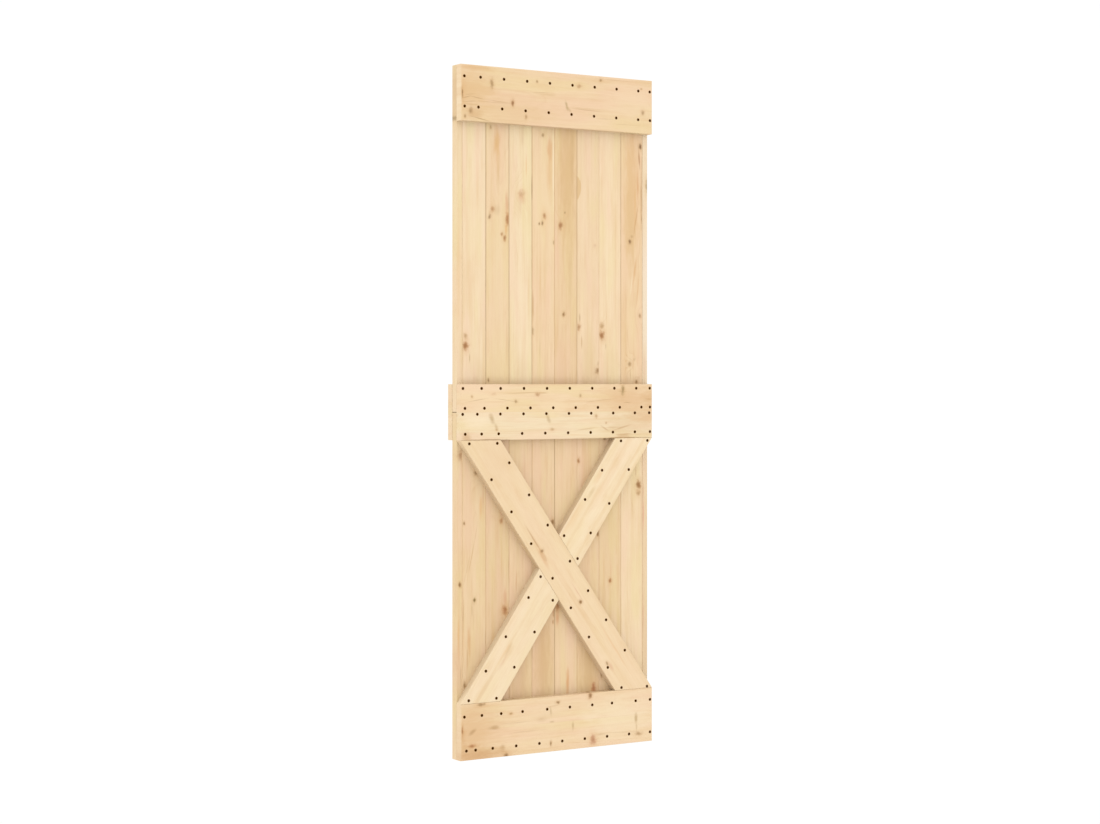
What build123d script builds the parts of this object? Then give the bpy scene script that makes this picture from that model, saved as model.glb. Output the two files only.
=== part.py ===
from build123d import *
import os
from math import sqrt

# A sliding door leaf in planed pine, of the ledged and X-braced kind.
# Two half panels of tongue-and-groove boards stand one on the other. A top rail and a bottom rail
# are screwed to their fronts, and a middle rail on the front and another on the back join the halves.
# An X of one long brace and two short ones stiffens the lower half.
# Millimetres, +Z up, the front faces -Y. The origin is the centre of the top rail's front face,
# where the hangers of a sliding track are bolted.

# Leaf
door_width = 700
door_height = 2100

# Rails and braces
rail_height = 170
rail_thickness = 26
brace_width = 115
edge_round = 2

# Vertical boards
board_count = 8
board_thickness = 27
edge_strip_width = 20
panel_gap = 2
board_bevel = 1.2
strip_bevel = 2

# Tongue and groove
tongue_length = 7
tongue_thickness = 8
tongue_end_clearance = 0.6
tongue_side_clearance = 0.2

# Worked out from the sizes above, in the frame whose origin is on the top rail's front face
left = -door_width / 2
right = door_width / 2
top = rail_height / 2
bottom = top - door_height
middle = (top + bottom) / 2
board_front = rail_thickness
board_middle = board_front + board_thickness / 2
board_back = board_front + board_thickness
leaf_depth = board_back + rail_thickness
board_pitch = (door_width - 2 * edge_strip_width) / board_count
first_board = left + edge_strip_width
field_bottom = bottom + rail_height
field_top = middle - rail_height / 2
field_height = field_top - field_bottom

front = Plane(origin=(0, 0, 0), x_dir=(1, 0, 0), z_dir=(0, -1, 0))
back = Plane(origin=(0, leaf_depth, 0), x_dir=(-1, 0, 0), z_dir=(0, 1, 0))


def keep(part, name):
    """Labels a finished piece and writes it to its own file."""
    part.label = name
    export_step(part, f"parts/{name}.step")


def board(name, x_left, width, foot, head, tongue=True, groove=True):
    """One vertical board, its tongue on the right and its groove on the left, as seen from the front."""
    x_right = x_left + width
    groove_length = tongue_length + tongue_end_clearance
    with BuildPart() as made:
        with BuildSketch(Plane.XY.offset(foot)) as section:
            with Locations((x_left + width / 2, board_middle)):
                Rectangle(width, board_thickness)
            corners = section.vertices().group_by(Axis.X)
            chamfer(corners[0], board_bevel if groove else strip_bevel)
            chamfer(corners[-1], board_bevel if tongue else strip_bevel)
            if tongue:
                with Locations((x_right, board_middle)):
                    Rectangle(tongue_length, tongue_thickness, align=(Align.MIN, Align.CENTER))
            if groove:
                with Locations((x_left, board_middle)):
                    Rectangle(
                        groove_length,
                        tongue_thickness + 2 * tongue_side_clearance,
                        align=(Align.MIN, Align.CENTER),
                        mode=Mode.SUBTRACT,
                    )
        extrude(amount=head - foot)
    keep(made.part, name)


def half_panel(half, foot, head):
    """The boards of one half of the leaf, between its two edge strips."""
    board(f"{half}_edge_strip_left", left, edge_strip_width, foot, head, groove=False)
    for i in range(board_count):
        board(f"{half}_board_{i + 1}", first_board + i * board_pitch, board_pitch, foot, head)
    board(f"{half}_edge_strip_right", right - edge_strip_width, edge_strip_width, foot, head, tongue=False)


def rail(name, face, foot):
    """A rail across the whole leaf, lying on the boards, with its outer face on the given plane."""
    with BuildPart() as made:
        with BuildSketch(face):
            with Locations((0, foot + rail_height / 2)):
                Rectangle(door_width, rail_height)
        extrude(amount=-rail_thickness)
        fillet(made.faces().sort_by(Axis((0, 0, 0), face.z_dir))[-1].edges(), edge_round)
    keep(made.part, name)


def brace_cut():
    """Length of a brace's level end cut, so that a brace of brace_width runs from corner to corner."""
    wide, high, across = door_width, field_height, brace_width
    share = (high**2 - across**2) * (high**2 + wide**2)
    return (across * sqrt(share + (across * wide) ** 2) - across**2 * wide) / (high**2 - across**2)


def rising_outline(cut):
    """Outline of a brace from the field's lower left corner to its upper right one."""
    return [
        (left, field_bottom),
        (left + cut, field_bottom),
        (right, field_top),
        (right - cut, field_top),
    ]


def falling_outline(cut):
    """The same outline mirrored from left to right."""
    return [(-x, z) for x, z in rising_outline(cut)]


def ease_front(made):
    """Rounds the edges of the front face, which lie furthest to the front."""
    fillet(made.faces().sort_by(Axis.Y)[0].edges(), edge_round)


def long_brace():
    """The unbroken brace, which falls from left to right."""
    with BuildPart() as made:
        with BuildSketch(front):
            Polygon(*falling_outline(brace_cut()), align=None)
        extrude(amount=-rail_thickness)
        ease_front(made)
    keep(made.part, "long_brace")


def short_brace(name, place):
    """What the long brace leaves of the rising brace: the lower piece is place 0, the upper one place -1."""
    with BuildPart() as made:
        with BuildSketch(front):
            Polygon(*rising_outline(brace_cut()), align=None)
            Polygon(*falling_outline(brace_cut()), align=None, mode=Mode.SUBTRACT)
        extrude(amount=-rail_thickness)
        other = made.solids().sort_by(Axis.Z)[-1 - place]
        add(other, mode=Mode.SUBTRACT)
        ease_front(made)
    keep(made.part, name)


os.makedirs("parts", exist_ok=True)

half_panel("upper", middle + panel_gap / 2, top)
half_panel("lower", bottom, middle - panel_gap / 2)

rail("top_rail", front, top - rail_height)
rail("middle_rail_front", front, field_top)
rail("middle_rail_back", back, field_top)
rail("bottom_rail", front, bottom)

long_brace()
short_brace("short_brace_lower", 0)
short_brace("short_brace_upper", -1)
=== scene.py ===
import bpy
import math
import random
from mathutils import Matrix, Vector


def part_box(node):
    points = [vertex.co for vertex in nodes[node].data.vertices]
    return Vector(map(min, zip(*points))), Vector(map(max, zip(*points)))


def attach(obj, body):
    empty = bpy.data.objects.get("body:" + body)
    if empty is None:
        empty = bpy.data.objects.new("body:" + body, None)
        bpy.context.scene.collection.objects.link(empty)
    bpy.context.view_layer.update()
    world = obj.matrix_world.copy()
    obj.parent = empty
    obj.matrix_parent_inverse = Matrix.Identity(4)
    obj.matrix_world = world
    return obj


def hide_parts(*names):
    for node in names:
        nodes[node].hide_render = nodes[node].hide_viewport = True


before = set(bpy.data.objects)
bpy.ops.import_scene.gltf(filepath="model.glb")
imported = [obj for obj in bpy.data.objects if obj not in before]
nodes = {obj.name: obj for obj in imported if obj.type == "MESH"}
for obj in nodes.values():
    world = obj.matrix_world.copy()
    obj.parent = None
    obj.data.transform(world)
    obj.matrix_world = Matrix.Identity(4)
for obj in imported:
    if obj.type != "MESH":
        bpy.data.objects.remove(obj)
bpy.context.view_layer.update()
scene = bpy.context.scene
scene.view_settings.view_transform = "Standard"

# Sizes that follow the CAD part, in millimetres over the leaf's lower left front corner
LEAF_W, LEAF_H = 700.0, 2100.0
RAIL_H = 170.0
RAIL_T = 26.0
STRIP_W = 20.0
BOARDS = 8
PITCH = (LEAF_W - 2 * STRIP_W) / BOARDS
ORIGIN_Z = LEAF_H - RAIL_H / 2
MID_FOOT = LEAF_H / 2 - RAIL_H / 2
FIELD = MID_FOOT - RAIL_H
BACK_Y = 79.0
# A brace moves this far sideways over the height of the field
BRACE_LEAN = 560.0
MM_IN_M = 1000.0


def at(x, z, y=0.0):
    """A point of the shared frame in metres, from millimetres over the leaf's lower left front corner."""
    return Vector(((x - LEAF_W / 2) / MM_IN_M, y / MM_IN_M, (z - ORIGIN_Z) / MM_IN_M))


def linear(r, g, b):
    """A colour written as 0 to 255 in sRGB, as linear values."""
    out = []
    for c in (r, g, b):
        c /= 255
        out.append(c / 12.92 if c <= 0.04045 else ((c + 0.055) / 1.055) ** 2.4)
    return (*out, 1.0)


# Node helper
class Nodes:
    """Short names for the shader nodes of one material or world.

    A number goes straight to its socket, and an output is linked.
    """

    def __init__(self, owner):
        owner.use_nodes = True
        self.owner = owner
        self.tree = owner.node_tree
        self.tree.nodes.clear()

    def add(self, kind, **props):
        node = self.tree.nodes.new(kind)
        for key, value in props.items():
            setattr(node, key, value)
        return node

    def put(self, socket, value):
        if isinstance(value, bpy.types.NodeSocket):
            self.tree.links.new(value, socket)
        else:
            socket.default_value = value

    def math(self, op, *values):
        node = self.add("ShaderNodeMath", operation=op)
        for i, value in enumerate(values):
            self.put(node.inputs[i], value)
        return node.outputs[0]

    def length(self, a, b):
        return self.math("SQRT", self.math("MULTIPLY_ADD", a, a, self.math("MULTIPLY", b, b)))

    def vec(self, op, a, b=None, scale=None):
        node = self.add("ShaderNodeVectorMath", operation=op)
        self.put(node.inputs[0], a)
        if b is not None:
            self.put(node.inputs[1], b)
        if scale is not None:
            self.put(node.inputs["Scale"], scale)
        return node.outputs["Value" if op == "DOT_PRODUCT" else "Vector"]

    def combine(self, x, y, z):
        node = self.add("ShaderNodeCombineXYZ")
        for i, value in enumerate((x, y, z)):
            self.put(node.inputs[i], value)
        return node.outputs[0]

    def noise(self, vector, scale=1.0, detail=2.0, rough=0.5, colour=False, dims="3D"):
        node = self.add("ShaderNodeTexNoise", noise_dimensions=dims)
        self.put(node.inputs["W" if dims == "1D" else "Vector"], vector)
        self.put(node.inputs["Scale"], scale)
        self.put(node.inputs["Detail"], detail)
        self.put(node.inputs["Roughness"], rough)
        return node.outputs["Color" if colour else "Fac"]

    def ramp(self, fac, *stops):
        """A ramp of colours or of greys, each written as one number."""
        node = self.add("ShaderNodeValToRGB")
        band = node.color_ramp
        while len(band.elements) > 1:
            band.elements.remove(band.elements[-1])
        for i, (place, colour) in enumerate(stops):
            element = band.elements[0] if i == 0 else band.elements.new(place)
            element.position = place
            element.color = colour if isinstance(colour, tuple) else (colour, colour, colour, 1)
        self.put(node.inputs[0], fac)
        return node.outputs[0]

    def span(self, value, low, high, to_low=0.0, to_high=1.0):
        """A smooth step from to_low, where the value is low, to to_high."""
        node = self.add("ShaderNodeMapRange", interpolation_type="SMOOTHSTEP")
        names = ("Value", "From Min", "From Max", "To Min", "To Max")
        for name, number in zip(names, (value, low, high, to_low, to_high)):
            self.put(node.inputs[name], number)
        return node.outputs[0]

    def mix(self, fac, a, b):
        """A mix of two colours, which are sockets 6 and 7 of the node."""
        node = self.add("ShaderNodeMix", data_type="RGBA")
        self.put(node.inputs[0], fac)
        self.put(node.inputs[6], a)
        self.put(node.inputs[7], b)
        return node.outputs[2]

    def shader(self, kind, sockets):
        node = self.add(kind)
        for name, value in sockets.items():
            self.put(node.inputs[name], value)
        return node.outputs[0]

    def blend(self, fac, a, b):
        """A mix of two shaders."""
        node = self.add("ShaderNodeMixShader")
        for i, value in enumerate((fac, a, b)):
            self.put(node.inputs[i], value)
        return node.outputs[0]

    def done(self, shader, kind="ShaderNodeOutputMaterial"):
        self.put(self.add(kind).inputs[0], shader)
        return self.owner


def surface(n, colour, rough, height, specular, bump, depth, metallic=0.0):
    """A finished material. bump is the strength of its relief and depth the relief's depth in metres."""
    relief = n.shader("ShaderNodeBump", {"Strength": bump, "Distance": depth, "Height": height})
    return n.done(n.shader("ShaderNodeBsdfPrincipled", {
        "Base Color": colour, "Metallic": metallic, "Roughness": rough, "Specular IOR Level": specular,
        "Normal": relief,
    }))


# Pine
RED = linear(190, 134, 84)
BROWN = linear(172, 130, 82)
DARK = linear(150, 110, 68)
GREY = linear(198, 166, 118)
FAWN = linear(196, 156, 108)
# The next colour is painted shade on the boards just over a rail
SHADE = linear(196, 160, 120)
PALE = linear(206, 164, 114)
PINK = linear(224, 176, 136)
ORANGE = linear(230, 178, 112)
TAN = linear(224, 190, 142)
CREAM = linear(250, 228, 192)
RUST = linear(196, 134, 82)
OLIVE = linear(156, 128, 76)
# The next colour is painted shade on the sides of the braces
SIDE_SHADE = linear(196, 152, 106)
BOUNCE = linear(184, 166, 142)

# A year's growth from early to late wood: place in the year and darkness
YEAR = ((0.0, 0.10), (0.30, 0.0), (0.62, 0.22), (0.86, 1.0), (0.93, 0.85), (1.0, 0.10))
# How far the rings stray from circles in long bends and in ripples, in mm
BEND, RIPPLE = 34.0, 4.6
# How far round a knot the rings give way, in its half sizes, and how far they are pushed
KNOT_WIDE, KNOT_LONG, KNOT_PUSH = 2.2, 3.0, 1.4
BELL_BASE = 2.718
# Where the wood beyond a glue line is cut from the log, across and along it, in mm
NEXT_ACROSS, NEXT_ALONG = 23.0, 2310.0
# A knot's heart against its body, and grime with painted shade in a joint against clean wood, in red, green
# and blue
HEART, GRIME_AND_SHADE = (0.64, 0.59, 0.48), (0.77, 0.72, 0.64)
# A fade is the distance up to which something is full, the distance from which it is gone, and its strength.
# Round a knot, where 1 is the knot's edge: its warm halo, its body and its heart
HALO_FADE, BODY_FADE, HEART_FADE = (0.5, 2.4, 0.32), (0.40, 1.25, 0.82), (0.05, 0.72, 0.70)
# In mm: a glue line's tone beside the line, and dirt with painted shade and the painted light on the bevel
# beside a joint
GLUE_FADE, DIRT_AND_SHADE_FADE, BEVEL_LIGHT_FADE = (0.12, 0.40, 0.35), (1.0, 3.6, 1.0), (1.2, 2.2, 1.0)
# How much painted light shows on the bevel at a clean joint, and how much of that the dirt and painted shade
# take away
BEVEL_LIGHT_CLEAN, BEVEL_LIGHT_LOST = 0.45, 0.8
# Depths behind the face, in mm, between which the painted shade of a side sets in
SIDE_SHADE_START, SIDE_SHADE_END = 1.5, 4.0


def planks(n, centre, grain):
    """Millimetres from a piece's middle: the place itself, and across, behind and along the grain.

    grain is the direction of the wood in the XZ plane, in degrees from +Z. The last value turns a point
    (x, z) of the leaf into (across, along).
    """
    turn = math.radians(grain)
    along_dir = Vector((math.sin(turn), 0, math.cos(turn)))
    across_dir = Vector((math.cos(turn), 0, -math.sin(turn)))
    coords = n.add("ShaderNodeTexCoord").outputs["Object"]
    place = n.vec("SCALE", n.vec("SUBTRACT", coords, centre), scale=MM_IN_M)
    across = n.vec("DOT_PRODUCT", place, across_dir)
    depth = n.vec("DOT_PRODUCT", place, (0, 1, 0))
    along = n.vec("DOT_PRODUCT", place, along_dir)

    def local(x, z):
        v = (at(x, z) - Vector(centre)) * MM_IN_M
        return v.dot(across_dir), v.dot(along_dir)

    return place, across, depth, along, local


def streaky(n, place, pace, start=0.0, **noise):
    """Noise that runs at its own pace, per mm, across, behind and along the grain. start shifts it."""
    across, behind, along = place
    return n.noise(n.combine(n.math("MULTIPLY_ADD", across, pace[0], start),
                             n.math("MULTIPLY", behind, pace[1]),
                             n.math("MULTIPLY", along, pace[2])), **noise)


def oval(n, across, along, mid_across, mid_along, half_across, half_along, tilt, uneven, ragged):
    """Distance from a spot, 1 at its edge. uneven is a noise and ragged how much it frays the outline."""
    a = n.math("SUBTRACT", across, mid_across)
    b = n.math("SUBTRACT", along, mid_along)
    if tilt:
        c, s = math.cos(math.radians(tilt)), math.sin(math.radians(tilt))
        a, b = (n.math("MULTIPLY_ADD", a, c, n.math("MULTIPLY", b, s)),
                n.math("MULTIPLY_ADD", b, c, n.math("MULTIPLY", a, -s)))
    d = n.length(n.math("MULTIPLY", a, 1 / half_across), n.math("MULTIPLY", b, 1 / half_along))
    return n.math("MULTIPLY_ADD", uneven, ragged, d)


def faded(n, distance, fade, share=1.0):
    """A share of a strength that falls with the distance, as its fade says."""
    full, gone, strength = fade
    return n.span(distance, full, gone, strength * share, 0.0)


def growth(n, place, knots, local, pith, lean, rings, seed):
    """Late wood of the yearly rings of a log that the piece is cut from, 0 to 1."""
    across, depth, along = place
    log = n.combine(across, depth, 0.0)
    bend = streaky(n, place, (0.010, 0.010, 0.0016), seed, colour=True)
    ripple = streaky(n, place, (0.07, 0.07, 0.012), seed * 3, rough=0.55, colour=True)
    for stray, reach in ((bend, BEND), (ripple, RIPPLE)):
        centred = n.vec("SUBTRACT", stray, (0.5, 0.5, 0.5))
        log = n.vec("ADD", log, n.vec("SCALE", centred, scale=reach))
    apart = n.add("ShaderNodeSeparateXYZ")
    n.put(apart.inputs[0], log)
    from_heart = []
    for i in (0, 1):
        heart = n.math("MULTIPLY_ADD", along, math.tan(math.radians(lean[i])), pith[i])
        from_heart.append(n.math("SUBTRACT", apart.outputs[i], heart))
    radius = n.length(*from_heart)
    # The rings run round each knot
    for x, z, half_across, half_along, *_rest in knots:
        mid_across, mid_along = local(x, z)
        a = n.math("MULTIPLY", n.math("SUBTRACT", across, mid_across), 1 / (half_across * KNOT_WIDE))
        b = n.math("MULTIPLY", n.math("SUBTRACT", along, mid_along), 1 / (half_along * KNOT_LONG))
        bell = n.math("MULTIPLY_ADD", a, a, n.math("MULTIPLY", b, b))
        bell = n.math("POWER", BELL_BASE, n.math("MULTIPLY", bell, -1.0))
        radius = n.math("MULTIPLY_ADD", bell, min(half_across, half_along) * KNOT_PUSH, radius)
    drift = n.noise(n.math("MULTIPLY", radius, 0.11), rough=0.6, dims="1D")
    years = n.math("MULTIPLY_ADD", radius, 1 / rings, n.math("MULTIPLY", drift, 2.4))
    late = n.ramp(n.math("FRACT", years), *YEAR)
    # Years and stretches of the board differ in strength
    vary = n.noise(n.math("FLOOR", years), 1.37, 0.0, dims="1D")
    late = n.math("MULTIPLY", late, n.span(vary, 0.25, 0.75, 0.35, 1.0))
    stretch = streaky(n, (across, seed, along), (0.022, 1.0, 0.0042), seed * 5)
    return n.math("MULTIPLY", late, n.span(stretch, 0.35, 0.68, 0.10, 1.0))


def tinted(n, colour, value, steps, below, above):
    """Turns a colour towards above where the value is high, and towards below where it is low.

    steps are the low, middle and high value, and below and above are each a colour and its strength.
    """
    low, middle, high = steps
    colour = n.mix(n.span(value, middle, high, 0.0, above[1]), colour, above[0])
    return n.mix(n.span(value, low, middle, below[1], 0.0), colour, below[0])


def late_tone(tone):
    """Colour of the late wood in wood of one tone."""
    return linear(tone[0] - 34, tone[1] - 58, tone[2] - 78)


def clear_wood(n, base, tone, on_face, in_log, late, fibre, line, figure, cloud, seed):
    """Colour of wood without knots, from large to small: streaks, rings, blotches and fibres."""
    r, g, b = tone
    warm = linear(r - 11, g - 19, b - 28)
    pale = linear(min(r + 6, 252), min(g + 8, 250), b + 11)
    pinker = linear(r + 2, g - 5, b + 3)
    yellower = linear(r - 3, g + 2, b - 11)
    latewood = late_tone(tone)
    streak = streaky(n, in_log, (0.055, 0.02, 0.0011), seed * 7, detail=3.0, rough=0.6)
    colour = tinted(n, base, streak, (0.20, 0.46, 0.80), (pale, 0.55), (warm, 0.75))
    colour = n.mix(n.math("MULTIPLY", late, line), colour, latewood)
    # Shorter streaks about a centimetre wide
    band = streaky(n, in_log, (0.12, 0.05, 0.0052), seed * 13, rough=0.55)
    colour = tinted(n, colour, band, (0.26, 0.50, 0.74), (pale, 0.42 * figure), (warm, 0.42 * figure))
    # Parts of the wood are pinker, others yellower
    part = streaky(n, (in_log[0], seed, in_log[2]), (0.020, 1.0, 0.0034), seed * 2.3)
    colour = tinted(n, colour, part, (0.34, 0.50, 0.66), (yellower, 0.5 * figure), (pinker, 0.5 * figure))
    mist = streaky(n, on_face, (0.040, 0.02, 0.013), seed * 3, detail=3.0, rough=0.6)
    colour = tinted(n, colour, mist, (0.25, 0.50, 0.75), (pale, cloud), (warm, cloud))
    return n.mix(n.span(fibre, 0.40, 0.80, 0.0, 0.16), colour, latewood)


def stained(n, colour, across, along, local, spots, uneven, ragged, inside, outside):
    """Adds spots of another tone, full up to inside and gone from outside, where 1 is the edge."""
    for x, z, half_across, half_along, shade, strength, *tilt in spots:
        d = oval(n, across, along, *local(x, z), half_across, half_along, sum(tilt), uneven, ragged)
        colour = n.mix(n.span(d, inside, outside, strength, 0.0), colour, shade)
    return colour


def knotted(n, colour, place, across, along, local, knots):
    """Adds knots: a warm halo, a soft body with a few rings, and a darker heart."""
    uneven = n.math("SUBTRACT", n.noise(place, 0.085, 3.0, 0.55), 0.5)
    for x, z, half_across, half_along, shade, strength in knots:
        d = oval(n, across, along, *local(x, z), half_across, half_along, 0.0, uneven, 1.4)
        heart = (*[c * share for c, share in zip(shade, HEART)], 1.0)
        halo = tuple((c + o) / 2 for c, o in zip(shade, ORANGE))
        colour = n.mix(faded(n, d, HALO_FADE, strength), colour, halo)
        turns = max(min(half_across, half_along) / 1.5, 2.0)
        wood = n.mix(n.math("MULTIPLY", n.math("FRACT", n.math("MULTIPLY", d, turns)), 0.35), shade, heart)
        colour = n.mix(faded(n, d, BODY_FADE, strength), colour, wood)
        colour = n.mix(faded(n, d, HEART_FADE, strength), colour, heart)
    return colour


def dirt_and_shade_at_edges(n, colour, tone, across, local, edges):
    """Adds dirt with painted shade in the joint, and painted light on the bevel, at the long edges of a
    piece.
    """
    grime_and_shade = linear(*[c * share for c, share in zip(tone, GRIME_AND_SHADE)])
    bevel_light = linear(min(tone[0] + 12, 255), tone[1] + 3, tone[2] - 4)
    for x, dirt_and_shade in edges:
        gap = n.math("ABSOLUTE", n.math("SUBTRACT", across, local(x, 0)[0]))
        colour = n.mix(faded(n, gap, DIRT_AND_SHADE_FADE, dirt_and_shade), colour, grime_and_shade)
        colour = n.mix(faded(n, gap, BEVEL_LIGHT_FADE, BEVEL_LIGHT_CLEAN - BEVEL_LIGHT_LOST * dirt_and_shade), colour, bevel_light)
    return colour


def pine(name, centre, grain, tone, pith=(0.0, 60.0), lean=(0.0, 0.0), rings=3.0, line=0.22, figure=1.0,
         cloud=0.2, knots=(), stains=(), patches=(), glue=None, edges=(), side_shade=0.0, seed=0.0):
    """Planed pine of one tone.

    pith is where the heart of the log lay, across and behind the piece, in mm. lean tilts the log against
    the piece, which draws the pointed arches. rings is the width of a year's ring in mm. line, figure and
    cloud are the strengths of the ring lines, the streaks and the soft blotches. knots, stains and patches
    are (x, z, half size across the grain, half size along it, colour, strength) in mm on the leaf, and
    stains and patches may add a tilt in degrees, counter-clockwise from the front. A patch is a stain with
    a sharp edge. glue is (x, z, tone): a point of the line where a second strip is glued on, and the
    strip's tone. edges are (x, strength) of the long edges that gather dirt and painted shade, with painted
    light on the bevel beside them. side_shade is how much browner the sides are painted than the face, as
    painted shade.
    """
    n = Nodes(bpy.data.materials.new(name))
    place, across, depth, along, local = planks(n, centre, grain)
    on_face = in_log = (across, depth, along)
    base = linear(*tone)
    if glue:
        # The wood beyond the glue line belongs to another log
        seam = local(*glue[:2])[0]
        side = n.math("GREATER_THAN", across, seam)
        base = n.mix(side, base, linear(*glue[2]))
        in_log = (n.math("MULTIPLY_ADD", side, NEXT_ACROSS, across), depth,
                  n.math("MULTIPLY_ADD", side, NEXT_ALONG, along))
    late = growth(n, in_log, () if glue else knots, local, pith, lean, rings, seed)
    fibre = streaky(n, in_log, (1.1, 1.1, 0.028), seed * 11, detail=3.0, rough=0.65)
    colour = clear_wood(n, base, tone, on_face, in_log, late, fibre, line, figure, cloud, seed)

    blotch = streaky(n, (across, seed, along), (0.09, 1.0, 0.02), detail=3.0, rough=0.6)
    uneven = n.math("SUBTRACT", blotch, 0.5)
    colour = stained(n, colour, across, along, local, stains, uneven, ragged=1.1, inside=0.1, outside=1.2)
    colour = stained(n, colour, across, along, local, patches, uneven, ragged=0.5, inside=0.84, outside=1.0)
    colour = knotted(n, colour, place, across, along, local, knots)
    if glue:
        gap = n.math("ABSOLUTE", n.math("SUBTRACT", across, seam))
        colour = n.mix(faded(n, gap, GLUE_FADE), colour, late_tone(tone))
    # Dirt and painted shade in the joints, with painted light on their bevels
    colour = dirt_and_shade_at_edges(n, colour, tone, across, local, edges)
    # Painted shade that makes the sides browner than the face
    if side_shade:
        face = -RAIL_T / 2
        colour = n.mix(n.span(depth, face + SIDE_SHADE_START, face + SIDE_SHADE_END, 0.0, side_shade), colour, SIDE_SHADE)

    # Light that bounces between pieces stays weak and nearly neutral
    bounced = n.add("ShaderNodeLightPath").outputs["Is Diffuse Ray"]
    colour = n.mix(bounced, colour, BOUNCE)
    rough = n.math("MULTIPLY_ADD", fibre, 0.10, n.math("MULTIPLY_ADD", late, -0.08, 0.56))
    height = n.math("MULTIPLY_ADD", fibre, 0.5, n.math("MULTIPLY", late, 0.35))
    return surface(n, colour, rough, height, specular=0.35, bump=0.25, depth=0.00012)


def dress(obj, material):
    obj.data.materials.clear()
    obj.data.materials.append(material)


def middle_of(node):
    low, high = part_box(node)
    return tuple((low + high) / 2)


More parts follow.
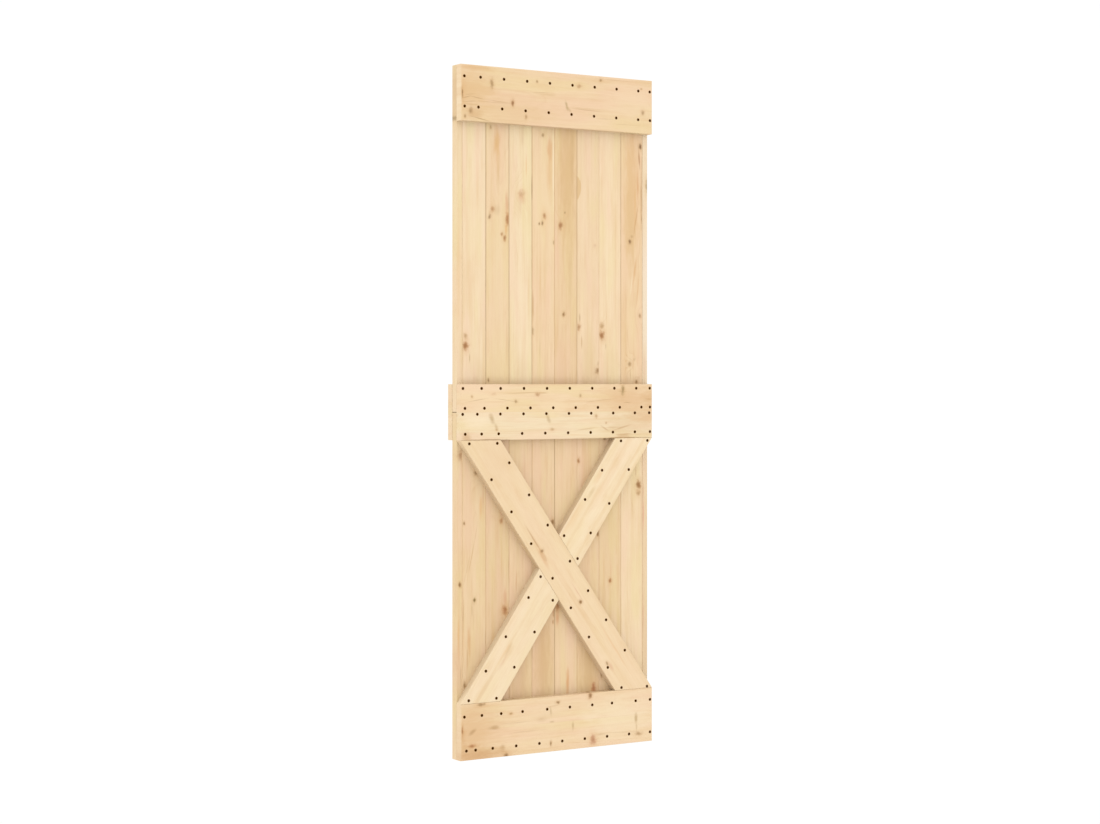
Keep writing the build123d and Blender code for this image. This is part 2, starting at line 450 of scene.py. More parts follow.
# Looks of the boards in the two half panels, from the left
UPPER = {
    1: dict(
        tone=(246, 221, 183), pith=(95, 30), lean=(0.4, 0.2),
        knots=[(31, 1251, 11, 15, RED, 0.95), (32, 1281, 9, 10, PALE, 0.6)],
        stains=[
            (46, 1216, 2, 16, GREY, 0.7), (62, 1738, 9, 170, CREAM, 0.4), (70, 1175, 34, 60, TAN, 0.2),
            (60, 1600, 44, 150, linear(249, 224, 190), 0.35),
        ],
    ),
    2: dict(
        tone=(242, 213, 172), pith=(6, 55), lean=(0.5, -0.9),
        knots=[
            (120, 1919, 5, 7, BROWN, 0.52), (126, 1669, 8, 10, RED, 0.55), (116, 1646, 5, 9, DARK, 0.6),
            (180, 1640, 9, 24, RUST, 0.72), (159, 1594, 5, 7, RED, 0.52), (169, 1582, 7, 11, RED, 0.78),
            (112, 1147, 4, 7, DARK, 0.75),
        ],
        stains=[
            (140, 1420, 44, 330, linear(244, 216, 180), 0.4),
            (142, 1870, 15, 60, linear(224, 177, 112), 0.7),
            (146, 1800, 12, 60, linear(232, 192, 140), 0.5), (146, 1780, 8, 60, TAN, 0.5),
            (178, 1688, 8, 46, PINK, 0.7), (174, 1612, 6, 26, ORANGE, 0.6),
            (178, 1250, 5, 90, TAN, 0.45), (143, 1668, 14, 20, GREY, 0.25),
        ],
    ),
    3: dict(
        tone=(246, 222, 183), pith=(-20, 48), lean=(0.1, 0.8),
        knots=[(231, 1721, 15, 15, linear(222, 174, 130), 0.45)],
        stains=[
            (228, 1706, 15, 24, PINK, 0.5, 20), (226, 1680, 7, 34, TAN, 0.4),
            (247, 1808, 3, 40, ORANGE, 0.4), (233, 1900, 8, 40, TAN, 0.35),
            (228, 1420, 12, 330, CREAM, 0.45), (266.5, 1740, 2.4, 48, DARK, 0.6),
            (228, 1180, 34, 60, TAN, 0.25),
        ],
    ),
    4: dict(
        tone=(243, 214, 173), pith=(30, 66), lean=(-0.3, 0.6),
        knots=[
            (307, 1906, 6, 8, BROWN, 0.5), (313, 1656, 7, 10, RED, 0.62), (305, 1634, 4, 8, DARK, 0.62),
            (294, 1631, 3, 5, DARK, 0.62), (347, 1576, 4, 9, BROWN, 0.40),
            (269, 1299, 6, 15, BROWN, 0.36),
        ],
        stains=[
            (310, 1740, 44, 220, linear(245, 217, 180), 0.4),
            (312, 1648, 22, 50, linear(236, 196, 144), 0.35),
            (333, 1800, 15, 110, linear(230, 188, 136), 0.6),
            (333, 1862, 12, 44, linear(224, 172, 122), 0.5), (271, 1371, 4, 56, PALE, 0.6),
            (268.5, 1740, 2.4, 48, DARK, 0.5), (296, 1240, 3, 50, TAN, 0.6),
            (345, 1790, 3.5, 150, CREAM, 0.9),
        ],
    ),
    5: dict(
        tone=(239, 208, 166), pith=(-4, 40), lean=(0.3, 1.0),
        knots=[
            (372, 1629, 9, 15, RED, 0.74), (388, 1669, 3, 4, DARK, 0.5), (383, 1353, 6, 8, BROWN, 0.92),
        ],
        stains=[
            (398, 1810, 42, 330, linear(222, 184, 132), 0.75), (408, 1470, 9, 130, TAN, 0.5),
            (415, 1830, 8, 160, linear(214, 176, 124), 0.4),
        ],
    ),
    6: dict(
        tone=(243, 215, 176), pith=(60, 34), lean=(0.2, 0.5),
        knots=[
            (440, 1313, 7, 12, RED, 0.6), (500, 1570, 7, 9, PINK, 0.2), (509, 1177, 9, 12, BROWN, 0.72),
        ],
        stains=[
            (443, 1342, 4, 16, BROWN, 0.45), (450, 1268, 3, 28, PALE, 0.6),
            (512, 1200, 4, 12, BROWN, 0.4), (475, 1200, 40, 130, TAN, 0.35),
        ],
        patches=[(431, 1750, 17, 40, linear(228, 192, 142), 0.95)],
    ),
    7: dict(
        tone=(246, 220, 181), pith=(-75, 25), lean=(-0.2, 0.4),
        knots=[(526, 1288, 11, 15.5, RED, 0.96), (525, 1318, 9, 13, PALE, 0.62)],
        stains=[
            (541, 1255, 2, 14, GREY, 0.75), (545, 1514, 7, 150, CREAM, 0.5),
            (560, 1190, 34, 90, TAN, 0.22),
        ],
    ),
    8: dict(
        tone=(243, 213, 172), pith=(8, 46), lean=(0.6, -0.8), line=0.30, figure=0.7,
        knots=[
            (672, 1891, 6, 10, DARK, 0.84), (632, 1587, 6, 8, DARK, 0.8),
            (671, 1353, 6, 9, BROWN, 0.48), (632, 1199, 8, 8, BROWN, 0.54),
            (657, 1142, 6, 8, BROWN, 0.8),
        ],
        stains=[
            (640, 1760, 36, 320, linear(229, 188, 135), 0.75),
            (634, 1640, 30, 150, linear(228, 193, 142), 0.5),
            (668, 1850, 3.5, 40, linear(176, 116, 72), 0.7, 4),
            (663, 1768, 4, 60, linear(214, 152, 98), 0.5), (677, 1662, 2, 18, BROWN, 0.6),
            (676, 1745, 3, 130, linear(184, 140, 96), 0.6),
            (655, 1655, 2.5, 60, linear(206, 156, 106), 0.55, -10),
            (650, 1490, 5, 60, linear(222, 172, 116), 0.5, -8), (638, 1450, 3, 50, CREAM, 0.5, -8),
            (664, 1440, 3, 60, linear(226, 176, 122), 0.5, -6), (640, 1604, 7, 6, BROWN, 0.35),
            (649, 1213, 6, 8, BROWN, 0.3), (634, 1166, 2, 24, PALE, 0.6),
            (652, 1700, 3, 70, ORANGE, 0.5),
        ],
    ),
}
LOWER = {
    1: dict(
        tone=(239, 209, 167), pith=(10, 52), lean=(0.3, 0.9), line=0.18,
        knots=[
            (67, 867, 8, 11, BROWN, 0.6), (63, 479, 5, 8, OLIVE, 1.0), (27, 714, 4, 6, BROWN, 0.85),
            (28, 222, 6, 13, BROWN, 0.72),
        ],
        stains=[
            (93, 779, 3, 60, PINK, 0.6), (60, 420, 4, 60, TAN, 0.5),
            (60, 300, 42, 170, linear(224, 186, 140), 0.3),
            (85, 763, 6, 42, linear(226, 164, 100), 0.4),
            (53, 612, 2.6, 70, linear(208, 162, 106), 0.5, -12), (38, 580, 2.4, 50, TAN, 0.6, -14),
            (65, 668, 2.4, 50, TAN, 0.5, -10), (24, 434, 2.4, 60, BROWN, 0.4),
            (44, 345, 7, 62, linear(216, 158, 100), 0.45), (38, 310, 3, 50, linear(196, 146, 92), 0.4),
            (54, 456, 2, 26, BROWN, 0.4), (101, 354, 2.4, 44, BROWN, 0.5),
        ],
    ),
    2: dict(
        tone=(236, 205, 163), pith=(-12, 50), lean=(-0.4, 0.8), line=0.16,
        knots=[(157, 717, 6, 10, RUST, 0.66), (170, 443, 11, 18, linear(192, 128, 72), 0.76)],
        stains=[
            (159, 748, 8, 26, PINK, 0.6), (172, 484, 8, 34, PINK, 0.8),
            (128, 300, 5, 120, ORANGE, 0.35), (140, 400, 42, 200, linear(222, 184, 136), 0.25),
            (184, 577, 2.6, 64, BROWN, 0.4),
        ],
    ),
    3: dict(
        tone=(240, 208, 168), pith=(24, 58), lean=(0.5, -0.7), line=0.15,
        stains=[
            (215, 700, 14, 160, TAN, 0.35), (226, 260, 44, 260, linear(220, 184, 138), 0.6),
            (240, 880, 5, 80, PINK, 0.35), (211, 530, 4, 44, linear(206, 150, 96), 0.4),
        ],
    ),
    4: dict(
        tone=(239, 208, 166), pith=(-30, 44), lean=(0.2, 0.7), line=0.15,
        knots=[(343, 706, 7, 10, BROWN, 1.0), (348, 425, 6, 20, RUST, 0.5), (344, 396, 4, 6, RED, 0.4)],
        stains=[(308, 300, 46, 260, linear(218, 178, 130), 0.7), (322, 860, 5, 90, PINK, 0.3)],
    ),
    5: dict(
        tone=(241, 210, 169), pith=(14, 62), lean=(-0.5, 0.6), line=0.15,
        knots=[(362, 445, 10, 20, linear(198, 132, 76), 0.64)],
        stains=[
            (361, 405, 8, 26, linear(222, 164, 118), 0.7),
            (398, 204, 7, 64, linear(220, 156, 102), 0.7),
        ],
    ),
    6: dict(
        tone=(240, 208, 168), pith=(-6, 42), lean=(0.4, -0.6), line=0.15,
        knots=[
            (438, 895, 6, 9, RED, 0.92), (495, 179, 10, 22, linear(196, 124, 78), 0.72),
            (511, 666, 6, 12, BROWN, 1.0),
        ],
        stains=[(473, 230, 46, 250, linear(216, 178, 126), 0.72)],
    ),
    7: dict(
        tone=(238, 208, 165), pith=(26, 56), lean=(-0.3, 0.8), line=0.16,
        knots=[
            (557, 514, 6, 8, RED, 1.0), (524, 221, 5, 13, BROWN, 0.68), (536, 964, 6, 6, BROWN, 0.8),
            (563, 958, 8, 13, BROWN, 0.65),
        ],
        stains=[(560, 545, 3, 30, PINK, 0.5), (560, 800, 5, 70, ORANGE, 0.3)],
    ),
    8: dict(
        tone=(245, 219, 179), pith=(-16, 50), lean=(0.5, 0.7), line=0.18,
        knots=[(666, 813, 11, 16, linear(178, 128, 74), 0.92), (665, 787, 10, 12, PALE, 0.6)],
        stains=[
            (655, 856, 3, 26, PALE, 0.55), (640, 763, 5, 70, TAN, 0.4), (676, 700, 3, 110, PINK, 0.45),
        ],
    ),
}
STRIPS = {
    "upper_edge_strip_left": dict(
        tone=(244, 219, 179), pith=(60, 20), seed=2.1,
        knots=[(1, 1940, 7, 9, OLIVE, 0.42)],
        stains=[(8, 1500, 9, 260, ORANGE, 0.25), (0, 2005, 30, 130, linear(222, 186, 140), 0.7)],
    ),
    "upper_edge_strip_right": dict(
        tone=(244, 221, 186), pith=(-60, 20), seed=4.7,
        knots=[(697, 1768, 6, 26, linear(204, 176, 130), 0.7)],
        stains=[(690, 1390, 30, 300, linear(247, 229, 208), 0.6), (688, 1190, 8, 60, PINK, 0.3)],
    ),
    "lower_edge_strip_left": dict(
        tone=(240, 211, 169), pith=(64, 24), seed=6.2,
        knots=[(13, 920, 10, 17, linear(192, 144, 100), 0.6), (12, 529, 6, 8, BROWN, 1.0)],
        stains=[
            (7, 372, 4, 70, ORANGE, 0.5), (6, 285, 12, 110, PINK, 0.4), (15, 254, 2.2, 40, BROWN, 0.4),
        ],
    ),
    "lower_edge_strip_right": dict(
        tone=(239, 212, 173), pith=(-66, 26), seed=8.9,
        stains=[
            (684, 395, 4, 80, linear(226, 172, 138), 0.6),
            (684, 715, 3, 60, linear(230, 168, 138), 0.7), (684, 800, 3, 34, PINK, 0.6),
            (692, 300, 30, 190, linear(228, 198, 156), 0.6),
            (699, 500, 2, 420, linear(212, 190, 150), 0.5),
        ],
    ),
}

SEAMS = [STRIP_W + PITCH * i for i in range(BOARDS + 1)]
# Strength of the dirt and painted shade in each joint, from the left
DIRT_AND_SHADE = {
    "upper": (0.06, 0.42, 0.40, 0.36, 0.10, 0.34, 0.06, 0.32, 0.22),
    "lower": (0.06, 0.12, 0.20, 0.24, 0.45, 0.15, 0.12, 0.18, 0.15),
}
# Painted shade on the boards just over a rail: height on the leaf, reach upwards in mm, strength
FOOT_SHADE = {"upper": (MID_FOOT + RAIL_H + 3, 22, 0.28), "lower": (RAIL_H + 2, 26, 0.16)}
FOOT_SHADE_WIDTH = 120
# Where the seeds of each half start, so that no two boards are alike
FIRST_SEED = {"upper": 0.0, "lower": 41.3}
for half, boards in (("upper", UPPER), ("lower", LOWER)):
    foot, reach, strength = FOOT_SHADE[half]
    for i, look in boards.items():
        node = f"{half}_board_{i}"
        foot_shade = (SEAMS[i] - PITCH / 2, foot, FOOT_SHADE_WIDTH, reach, SHADE, strength)
        look = {
            "rings": 2.6 + 0.35 * ((i * 5) % 4),
            "seed": i * 3.17 + FIRST_SEED[half],
            "edges": list(zip(SEAMS, DIRT_AND_SHADE[half]))[i - 1:i + 1],
            **look,
            "stains": [*look["stains"], foot_shade],
        }
        dress(nodes[node], pine("pine_" + node, middle_of(node), 0, **look))
for node, look in STRIPS.items():
    dirt_and_shade = DIRT_AND_SHADE[node.split("_")[0]]
    sides = [(SEAMS[0], dirt_and_shade[0]), (SEAMS[-1], dirt_and_shade[-1])]
    dress(nodes[node], pine("pine_" + node, middle_of(node), 0, edges=sides, **look))

TOP_Z, MID_Z, LOW_Z = LEAF_H - RAIL_H, MID_FOOT, 0.0


def above(foot, spots):
    """Spots whose height is written from the foot of a rail."""
    return [(x, foot + z, *rest) for x, z, *rest in spots]


# Looks of the rails and braces
RAILS = {
    "top_rail": dict(
        tone=(242, 212, 171), pith=(6, 90), lean=(0.3, 0.7), rings=3.4, seed=11.3, line=0.22,
        knots=above(TOP_Z, [
            (109, 117, 17, 7, BROWN, 0.58), (183, 64, 10, 6, linear(174, 122, 74), 0.85),
            (35, 30, 13, 8, BROWN, 0.52), (230, 25, 9, 5, BROWN, 0.5), (424, 133, 7, 12, RED, 0.42),
            (505, 157, 6, 6, BROWN, 0.7), (664, 66, 9, 8, BROWN, 0.45), (6, 82, 14, 3.2, BROWN, 0.95),
            (270, 136, 5, 4, BROWN, 0.5), (658, 141, 4, 5, PALE, 0.5), (15, 12, 7, 5, BROWN, 0.65),
        ]),
        stains=above(TOP_Z, [
            (30, 90, 80, 110, linear(230, 192, 140), 0.8), (568, 161, 2, 60, PALE, 0.5),
            (378, 69, 20, 6, linear(194, 165, 118), 0.8, 16), (389, 55, 12, 5, GREY, 0.4, 40),
            (20, 71, 2.2, 20, BROWN, 0.45, 16), (54, 72, 2.2, 30, BROWN, 0.45, -8),
            (130, 65, 2.0, 60, BROWN, 0.4, -4), (34, 59, 2.2, 34, BROWN, 0.4, 5),
            (116, 61, 2.0, 66, BROWN, 0.35, -1), (30, 80, 1.8, 26, BROWN, 0.25, 8),
            (36, 50, 2.0, 36, BROWN, 0.25, 0), (160, 36, 46, 210, linear(231, 196, 146), 0.5),
            (55, 162, 9, 80, linear(220, 170, 114), 0.4), (8, 92, 56, 16, linear(226, 182, 130), 0.4),
            (48, 24, 22, 34, linear(214, 170, 120), 0.4), (70, 8, 2.4, 40, BROWN, 0.6, -10),
            (290, 103, 1.7, 40, BROWN, 0.3, 3), (455, 60, 1.7, 60, BROWN, 0.35, -2),
            (520, 37, 1.7, 40, BROWN, 0.3, 2), (455, 64, 4, 80, TAN, 0.5),
            (590, 24, 1.6, 70, BROWN, 0.2), (305, 98, 4, 38, TAN, 0.7),
            # The last spot is painted light on the rail's left end
            (620, 90, 60, 120, linear(246, 219, 181), 0.5), (-5, 85, 130, 10, CREAM, 0.9),
        ]),
    ),
    "middle_rail_front": dict(
        tone=(244, 215, 174), pith=(-12, 84), lean=(0.2, -0.5), rings=3.2, seed=17.9, line=0.18,
        glue=(0, MID_Z + RAIL_H / 2, (246, 225, 188)),
        knots=above(MID_Z, [
            (272, 139, 7, 10, RED, 0.43), (194, 117, 6, 6, BROWN, 0.48), (39, 132, 5, 5, PALE, 0.45),
            (114, 140, 6, 12, PINK, 0.2), (429, 134, 7, 5, BROWN, 0.4), (588, 151, 16, 7, GREY, 1.0),
            (487, 70, 7, 7, PALE, 0.5), (326, 30, 6, 9, PALE, 0.42), (126, 31, 5, 5, PALE, 0.5),
            (525, 48, 4, 4, PALE, 0.45),
        ]),
        stains=above(MID_Z, [
            (62, 56, 34, 64, CREAM, 0.8), (600, 125, 60, 130, linear(230, 190, 143), 0.75),
            (80, 128, 60, 130, linear(249, 220, 184), 0.5), (292, 143, 3, 20, PALE, 0.6),
            (588, 147, 3, 18, GREY, 0.7), (120, 116, 2, 80, PINK, 0.35), (460, 149, 2, 60, PINK, 0.45),
            (610, 40, 50, 120, linear(230, 200, 156), 0.55), (109, 64, 20, 10, GREY, 0.7, 24),
            (124, 40, 16, 7, GREY, 0.5, 22), (311, 64, 20, 8, GREY, 0.6, 22),
            (520, 31, 24, 4, linear(196, 152, 104), 0.5, 60), (452, 30, 3, 50, PALE, 0.45, 6),
            (605, 112, 1.6, 16, BROWN, 0.4), (690, 122, 4, 24, FAWN, 0.5),
            (695, 130, 50, 45, linear(222, 180, 128), 0.55),
            (680, 68, 30, 84, linear(230, 190, 144), 0.75),
            (584, 33, 3, 46, linear(200, 156, 108), 0.5, 15), (592, 12, 3, 36, PALE, 0.5, 4),
            (60, 122, 1.8, 56, BROWN, 0.3, 9), (160, 121, 1.8, 56, BROWN, 0.3, -8),
            (215, 143, 1.8, 80, BROWN, 0.3, 2), (490, 118, 1.8, 70, BROWN, 0.25, 5),
            # The two brown lines at height 1 are painted shade along the rail's lower edge
            (90, 1, 3.2, 85, BROWN, 0.7), (600, 1, 3.2, 100, BROWN, 0.75),
            (330, 100, 34, 60, linear(249, 224, 184), 0.5), (20, 10, 16, 20, PALE, 0.55),
            (590, 8, 9, 38, linear(208, 162, 114), 0.5), (548, 34, 3, 30, PALE, 0.35),
            (547, 25, 8, 55, TAN, 0.35),
        ]),
    ),
    "middle_rail_back": dict(
        tone=(243, 216, 176), pith=(10, -86), lean=(-0.4, 0.6), rings=3.3, seed=23.4, line=0.22,
        glue=(0, MID_Z + RAIL_H / 2 - 8, (245, 219, 180)),
        knots=above(MID_Z, [
            (150, 60, 6, 8, BROWN, 0.7), (402, 122, 7, 8, RED, 0.7), (560, 40, 7, 10, BROWN, 0.6),
        ]),
        stains=above(MID_Z, [(300, 60, 30, 60, ORANGE, 0.3)]),
    ),
    "bottom_rail": dict(
        tone=(243, 214, 173), pith=(14, 78), lean=(0.5, 0.6), rings=3.1, seed=31.6, line=0.24,
        glue=(0, LOW_Z + RAIL_H / 2 + 4, (243, 213, 171)),
        knots=above(LOW_Z, [
            (71, 165, 6, 15, BROWN, 0.65), (40, 42, 6, 17, RUST, 0.75), (159, 4, 7, 10, BROWN, 0.95),
            (6, 88, 16, 3.4, RED, 0.85), (176, 129, 4, 7, PALE, 0.9), (346, 150, 5, 8, BROWN, 0.8),
            (320, 25, 8, 4, BROWN, 0.72), (465, 162, 10, 8, linear(172, 124, 76), 0.85),
            (475, 22, 19, 12, linear(202, 138, 100), 0.68), (648, 27, 7, 15, FAWN, 0.6),
        ]),
        stains=above(LOW_Z, [
            (320, 124, 17, 5, GREY, 0.75, 8), (326, 140, 3, 30, PALE, 0.4, 4),
            (40, 85, 110, 130, linear(229, 189, 141), 0.82), (505, 38, 4, 26, PALE, 0.6),
            (585, 37, 2.2, 104, PALE, 0.5, -3.5), (580, 85, 80, 180, linear(249, 228, 192), 0.6),
            (300, 112, 12, 60, TAN, 0.3), (300, 85, 90, 110, linear(246, 219, 182), 0.35),
            (117, 90, 9, 24, FAWN, 0.7), (41, 84, 8, 20, FAWN, 0.75, 35), (147, 28, 13, 12, FAWN, 0.6),
            (60, 13, 26, 145, linear(212, 164, 112), 0.68),
            (8, 60, 60, 14, linear(218, 172, 120), 0.45), (283, 102, 10, 26, FAWN, 0.3),
            (325, 92, 4, 12, GREY, 0.5), (638, 76, 22, 7, GREY, 0.75), (401, 73, 18, 5, GREY, 0.6),
            (640, 48, 16, 4, GREY, 0.4), (200, 100, 2, 60, BROWN, 0.2), (230, 70, 2, 80, BROWN, 0.2),
            # The last spot is painted light on the rail's left end
            (455, 95, 22, 50, CREAM, 0.4), (-5, 85, 130, 10, CREAM, 0.7),
        ]),
    ),
}
BRACE_ANGLE = math.degrees(math.atan2(BRACE_LEAN, FIELD))
BRACES = {
    "long_brace": dict(
        grain=-BRACE_ANGLE, tone=(244, 216, 176), pith=(6, 70), lean=(0.2, 0.5), rings=3.3, seed=44.2,
        line=0.07, figure=0.3, cloud=0.35, side_shade=0.15,
        knots=[
            (288, 621, 7, 6, BROWN, 0.7), (429, 457, 6, 7, BROWN, 1.0), (528, 258, 5, 9, BROWN, 0.5),
        ],
        stains=[
            (140, 905, 60, 90, linear(236, 202, 160), 0.35),
            (257, 659, 4.5, 60, linear(200, 154, 106), 0.65),
            # The cream line at x 389 is painted light along the joint with the upper short brace, lifting its
            # shade
            (292, 601, 12, 40, linear(230, 184, 138), 0.6), (389, 621, 2.6, 62, CREAM, 0.9),
            (542, 248, 8, 20, PINK, 0.5), (413, 494, 3, 36, PINK, 0.5), (560, 300, 4, 110, ORANGE, 0.3),
        ],
        patches=[(293, 604, 7, 21, linear(220, 181, 136), 0.5)],
    ),
    "short_brace_upper": dict(
        grain=BRACE_ANGLE, tone=(248, 224, 186), pith=(-10, 72), lean=(0.3, 0.4), rings=3.1, seed=49.1,
        line=0.07, figure=0.4, cloud=0.5, side_shade=0.22,
        stains=[
            (470, 796, 8, 28, linear(218, 188, 138), 0.5), (498, 847, 10, 40, ORANGE, 0.25),
            (405, 719, 22, 90, linear(240, 204, 156), 0.4), (600, 880, 5, 60, TAN, 0.3),
            (560, 760, 14, 40, TAN, 0.2),
        ],
    ),
    "short_brace_lower": dict(
        grain=BRACE_ANGLE, tone=(247, 223, 185), pith=(-14, 68), lean=(-0.3, 0.6), rings=3.3, seed=53.8,
        line=0.07, figure=0.4, cloud=0.45, side_shade=0.10,
        stains=[
            # The first stain is painted shade at the brace's foot by the bottom rail
            (72, 205, 14, 50, linear(238, 206, 160), 0.5), (166, 324, 5, 34, TAN, 0.5),
            (152, 295, 6, 40, PINK, 0.3), (150, 312, 6, 70, ORANGE, 0.18), (90, 222, 8, 80, TAN, 0.3),
        ],
    ),
}


# Screws
def row(first, start, step, count, last):
    """Places along a row: the first ones, then count evenly spaced ones from start, then the last."""
    return [*first, *[start + i * step for i in range(count)], last]


def rail_rows(foot, rows):
    """Screw places on a rail. A row is its height over the rail's foot and the places along it."""
    return [(x, foot + height) for height, xs in rows for x in xs]


TOP_ROWS = [
    (134, row((13,), 69.5, PITCH, 8, 691)),
    (43, row((14,), 62, PITCH + 1, 8, 692)),
]
MID_ROWS = [
    (157, row((8, 73), 140, PITCH + 0.7, 7, 691)),
    (97, row((15, 83), 164, PITCH, 7, 692)),
    (79, row((7, 58), 139, PITCH, 7, 689)),
    (19, row((16, 73), 133, PITCH + 1, 7, 692)),
]
LOW_ROWS = [
    (132, (13, 74, 142, 218, 307, 390, 473, 547, 637, 692)),
    (29, row((20, 52), 112, PITCH + 0.8, 7, 692)),
]


def down(x_top, x_bottom, heights):
    """Places on a line that crosses the field from x_top at its upper edge to x_bottom at its lower edge."""
    return [(x_bottom + (x_top - x_bottom) * h / FIELD, RAIL_H + h) for h in heights]


LONG = [
    *down(121, 684, [785, 725, 625, 530, 415, 320, 225, 125, 5]),
    *down(23, 584, [785, 675, 575, 475, 365, 270, 175, 75]), (583, 178),
]
SHORT_UPPER = [
    *down(580, 20, [695, 605, 495]), *down(681, 121, [695, 590, 422]), (581, 956), (682, 956), (467, 670),
]
SHORT_LOWER = [*down(581, 21, [372, 310, 195, 95, 10]), *down(678, 118, [297, 203, 100, 10])]

# Sizes of a screw's head and seat in mm. Depths count from the face of the wood
HEAD_R, SEAT_R, SHANK_R = 4.7, 4.9, 2.2
HOLE_R = SHANK_R + 0.1
HEAD_SIDES, SEAT_SIDES = 36, 24
LOBES, LOBE = 6, 0.13
# The head from its shank to the floor of its recess: radius, depth, and how deep the lobes are cut
HEAD_RINGS = (
    (SHANK_R, 2.55, 0.0), (SHANK_R, 2.3, 0.0), (HEAD_R, 0.30, 0.0), (HEAD_R - 0.22, 0.15, 0.0),
    (1.95, 0.15, LOBE), (1.85, 0.28, LOBE), (1.65, 1.75, LOBE),
)
RECESS_TIP = 2.0
# The seat from a little in front of the face, down a 45 degree cone, to the end of the hole: radius and depth
SEAT_RINGS = ((SEAT_R + 0.6, -0.6), (HOLE_R, SEAT_R - SHANK_R - 0.1), (HOLE_R, 2.7))
# Points of the wood closer than this are one point, in metres
WELD_M = 0.00002
# Edges sharper than this stay sharp, in degrees
WOOD_SHARP, HEAD_SHARP = 32, 35


def disc_ring(verts, radius, y, count, lobe=0.0):
    """Adds a ring of points to verts and gives their numbers. lobe deepens the hollows of a drive into it."""
    start = len(verts)
    for i in range(count):
        a = 2 * math.pi * i / count
        r = radius * (1 + lobe * math.cos(LOBES * a))
        verts.append((r * math.cos(a), y, r * math.sin(a)))
    return list(range(start, start + count))


def join_rings(faces, a, b):
    for i in range(len(a)):
        j = (i + 1) % len(a)
        faces.append((a[i], a[j], b[j], b[i]))


def head_mesh():
    """One countersunk head with a six-lobed recess and the start of its shank, which goes to +y, in mm."""
    verts, faces = [], []
    rings = [disc_ring(verts, radius, y, HEAD_SIDES, lobe) for radius, y, lobe in HEAD_RINGS]
    for outer, inner in zip(rings, rings[1:]):
        join_rings(faces, outer, inner)
    tip = len(verts)
    verts.append((0, RECESS_TIP, 0))
    recess = rings[-1]
    for i in range(HEAD_SIDES):
        faces.append((recess[i], recess[(i + 1) % HEAD_SIDES], tip))
    faces.append(tuple(rings[0]))
    return verts, faces


def seat_mesh():
    """What a head's seat takes out of the wood, from a little in front of the face."""
    verts, faces = [], []
    rings = [disc_ring(verts, radius, y, SEAT_SIDES) for radius, y in SEAT_RINGS]
    for front, behind in zip(rings, rings[1:]):
        join_rings(faces, behind, front)
    faces.append(tuple(reversed(rings[0])))
    faces.append(tuple(rings[-1]))
    return verts, faces


def scatter(name, shape, places, back=False, chance=None):
    """Copies of one shape at places on the front or the back, as one mesh object in metres.

    With chance, each copy is turned by up to one lobe of the drive.
    """
    verts, faces = [], []
    for x, z in places:
        base = len(verts)
        a = chance.uniform(0, 2 * math.pi / LOBES) if chance else 0.0
        centre = at(x, z, BACK_Y if back else 0.0)
        for vx, vy, vz in shape[0]:
            rx, rz = vx * math.cos(a) - vz * math.sin(a), vx * math.sin(a) + vz * math.cos(a)
            if back:
                rx, vy = -rx, -vy
            verts.append((centre.x + rx / MM_IN_M, centre.y + vy / MM_IN_M, centre.z + rz / MM_IN_M))
        faces += [tuple(base + i for i in f) for f in shape[1]]
    mesh = bpy.data.meshes.new(name)
    mesh.from_pydata(verts, [], faces)
    mesh.validate()
    obj = bpy.data.objects.new(name, mesh)
    scene.collection.objects.link(obj)
    return obj


def smooth(mesh, angle):
    """Smooth shading, with sharp edges over an angle in degrees."""
    for poly in mesh.polygons:
        poly.use_smooth = True
    mesh.set_sharp_from_angle(angle=math.radians(angle))


def apply_modifiers(obj):
    """Replaces an object's mesh by what its modifiers make of it."""
    graph = bpy.context.evaluated_depsgraph_get()
    mesh = bpy.data.meshes.new_from_object(obj.evaluated_get(graph), depsgraph=graph)
    obj.modifiers.clear()
    obj.data = mesh


def drilled(node, places, back=False):
    """The wood of a rail or brace with seats cut for its screws. It stands for the CAD node."""
    mesh = nodes[node].data.copy()
    wood = bpy.data.objects.new(node + "_wood", mesh)
    scene.collection.objects.link(wood)
    if mesh.has_custom_normals:
        bpy.context.view_layer.objects.active = wood
        wood.select_set(True)
        bpy.ops.mesh.customdata_custom_splitnormals_clear()
        wood.select_set(False)
    cutter = scatter(node + "_cutter", seat_mesh(), places, back)
    weld = wood.modifiers.new("weld", "WELD")
    weld.merge_threshold = WELD_M
    cut = wood.modifiers.new("cut", "BOOLEAN")
    cut.operation = "DIFFERENCE"
    cut.solver = "EXACT"
    cut.object = cutter
    apply_modifiers(wood)
    bpy.data.objects.remove(cutter)
    smooth(wood.data, WOOD_SHARP)
    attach(wood, "root")
    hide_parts(node)
    return wood


def bronze(name):
    """Dark brown zinc on steel, blotched in three shades, with a fine grain."""
    n = Nodes(bpy.data.materials.new(name))
    coords = n.add("ShaderNodeTexCoord").outputs["Object"]
    blotch = n.noise(coords, 900.0, 3.0, 0.6)
    colour = n.ramp(blotch, (0.30, linear(62, 31, 1)), (0.55, linear(88, 49, 2)), (0.80, linear(124, 78, 8)))
    rough = n.span(blotch, 0.3, 0.8, 0.34, 0.52)
    grain = n.noise(coords, 4200.0, 2.0, 0.6)
    return surface(n, colour, rough, grain, specular=0.2, bump=0.2, depth=0.00004, metallic=1.0)


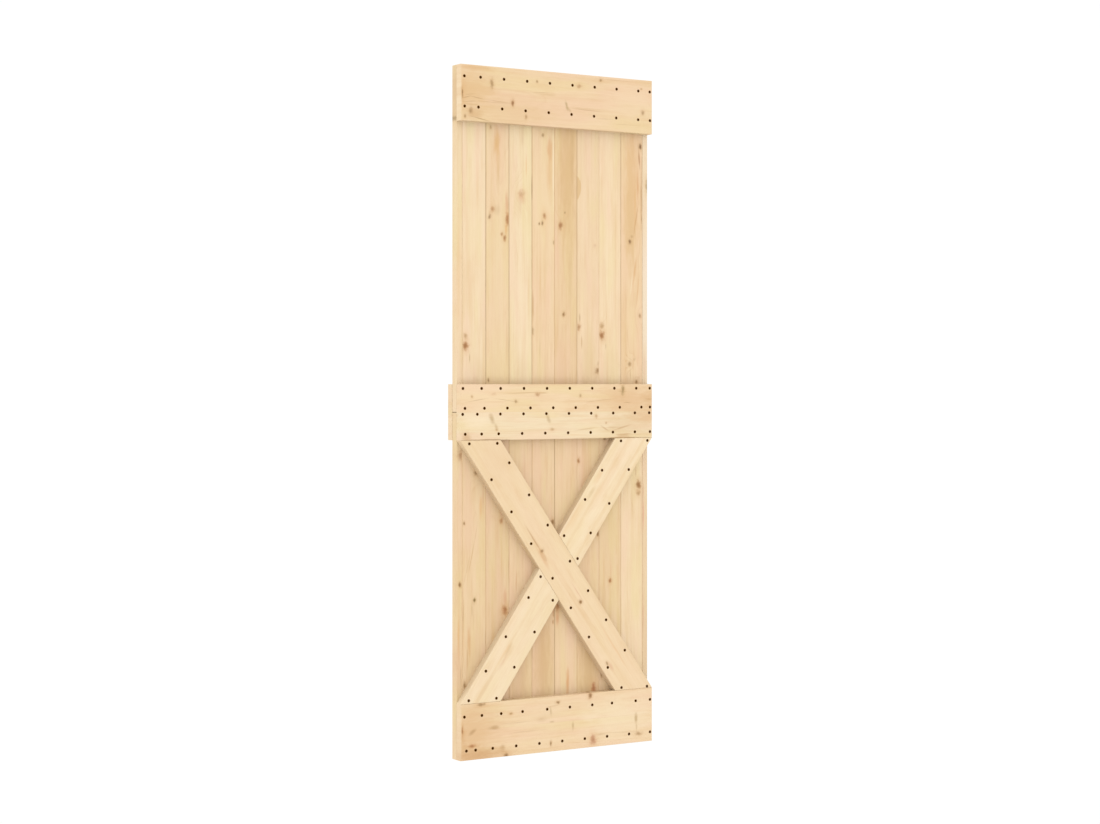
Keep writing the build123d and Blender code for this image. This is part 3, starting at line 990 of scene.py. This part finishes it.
screw_steel = bronze("screw_bronze")
chance = random.Random(7)
SCREWED = {
    "top_rail": rail_rows(TOP_Z, TOP_ROWS),
    "middle_rail_front": rail_rows(MID_Z, MID_ROWS),
    "middle_rail_back": rail_rows(MID_Z, MID_ROWS),
    "bottom_rail": rail_rows(LOW_Z, LOW_ROWS),
    "long_brace": LONG,
    "short_brace_upper": SHORT_UPPER,
    "short_brace_lower": SHORT_LOWER,
}
for node, places in SCREWED.items():
    back = node.endswith("_back")
    wood = drilled(node, places, back)
    look = {"grain": 90, **RAILS[node]} if node in RAILS else BRACES[node]
    dress(wood, pine("pine_" + node, middle_of(node), **look))
    heads = scatter(node + "_screws", head_mesh(), places, back, chance)
    smooth(heads.data, HEAD_SHARP)
    dress(heads, screw_steel)
    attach(heads, "root")

# Studio
WHITE = (1, 1, 1, 1)
FLOOR_COLOUR = (0.90, 0.90, 0.90, 1)
FLOOR_GLOW, GLOW_SHARE = 1.03, 0.86
FILL_LIGHT, BACKDROP = 1.08, 1.02
# The floor lies well under the leaf, in mm over its foot, and reaches 60 m to each side
FLOOR_LEVEL = -600
FLOOR_HALF = 60


def seen(n):
    """1 for the rays that see the background: the camera's, glossy and transmission rays."""
    paths = n.add("ShaderNodeLightPath").outputs
    most = n.math("MAXIMUM", paths["Is Camera Ray"], paths["Is Glossy Ray"])
    return n.math("MAXIMUM", most, paths["Is Transmission Ray"])


def floor_white():
    """A matt pale floor that is seen as white and keeps some of the object's shadow."""
    n = Nodes(bpy.data.materials.new("floor_white"))
    matt = n.shader("ShaderNodeBsdfDiffuse", {"Color": FLOOR_COLOUR})
    glow = n.shader("ShaderNodeEmission", {"Color": WHITE, "Strength": FLOOR_GLOW})
    return n.done(n.blend(n.math("MULTIPLY", seen(n), GLOW_SHARE), matt, glow))


def studio_world():
    """Even white light from all sides, and a white background."""
    n = Nodes(bpy.data.worlds.new("studio"))
    fill = n.shader("ShaderNodeBackground", {"Color": WHITE, "Strength": FILL_LIGHT})
    white = n.shader("ShaderNodeBackground", {"Color": WHITE, "Strength": BACKDROP})
    return n.done(n.blend(seen(n), fill, white), "ShaderNodeOutputWorld")


def floor_plane():
    """A wide square under the leaf, in metres."""
    z = at(0, FLOOR_LEVEL).z
    corners = [(x * FLOOR_HALF, y * FLOOR_HALF, z) for x, y in ((-1, -1), (1, -1), (1, 1), (-1, 1))]
    mesh = bpy.data.meshes.new("floor")
    mesh.from_pydata(corners, [], [(0, 1, 2, 3)])
    return bpy.data.objects.new("floor", mesh)


floor = floor_plane()
scene.collection.objects.link(floor)
dress(floor, floor_white())
scene.world = studio_world()

# Camera, level and turned to the right. Its height is in mm over the leaf's foot, and its distance from
# the leaf's left front edge is in metres
CAMERA_LEVEL = 1139
CAMERA_AWAY = Vector((-3.173, -5.585, 0))
CAMERA_TURN = -32
camera = bpy.data.cameras.new("camera")
camera.sensor_width = 36
camera.lens = 69.8
camera.shift_y = -0.0265
camera.clip_end = 200
camera_object = bpy.data.objects.new("camera", camera)
camera_object.location = at(0, CAMERA_LEVEL) + CAMERA_AWAY
camera_object.rotation_euler = (math.radians(90), 0, math.radians(CAMERA_TURN))
scene.collection.objects.link(camera_object)
scene.camera = camera_object
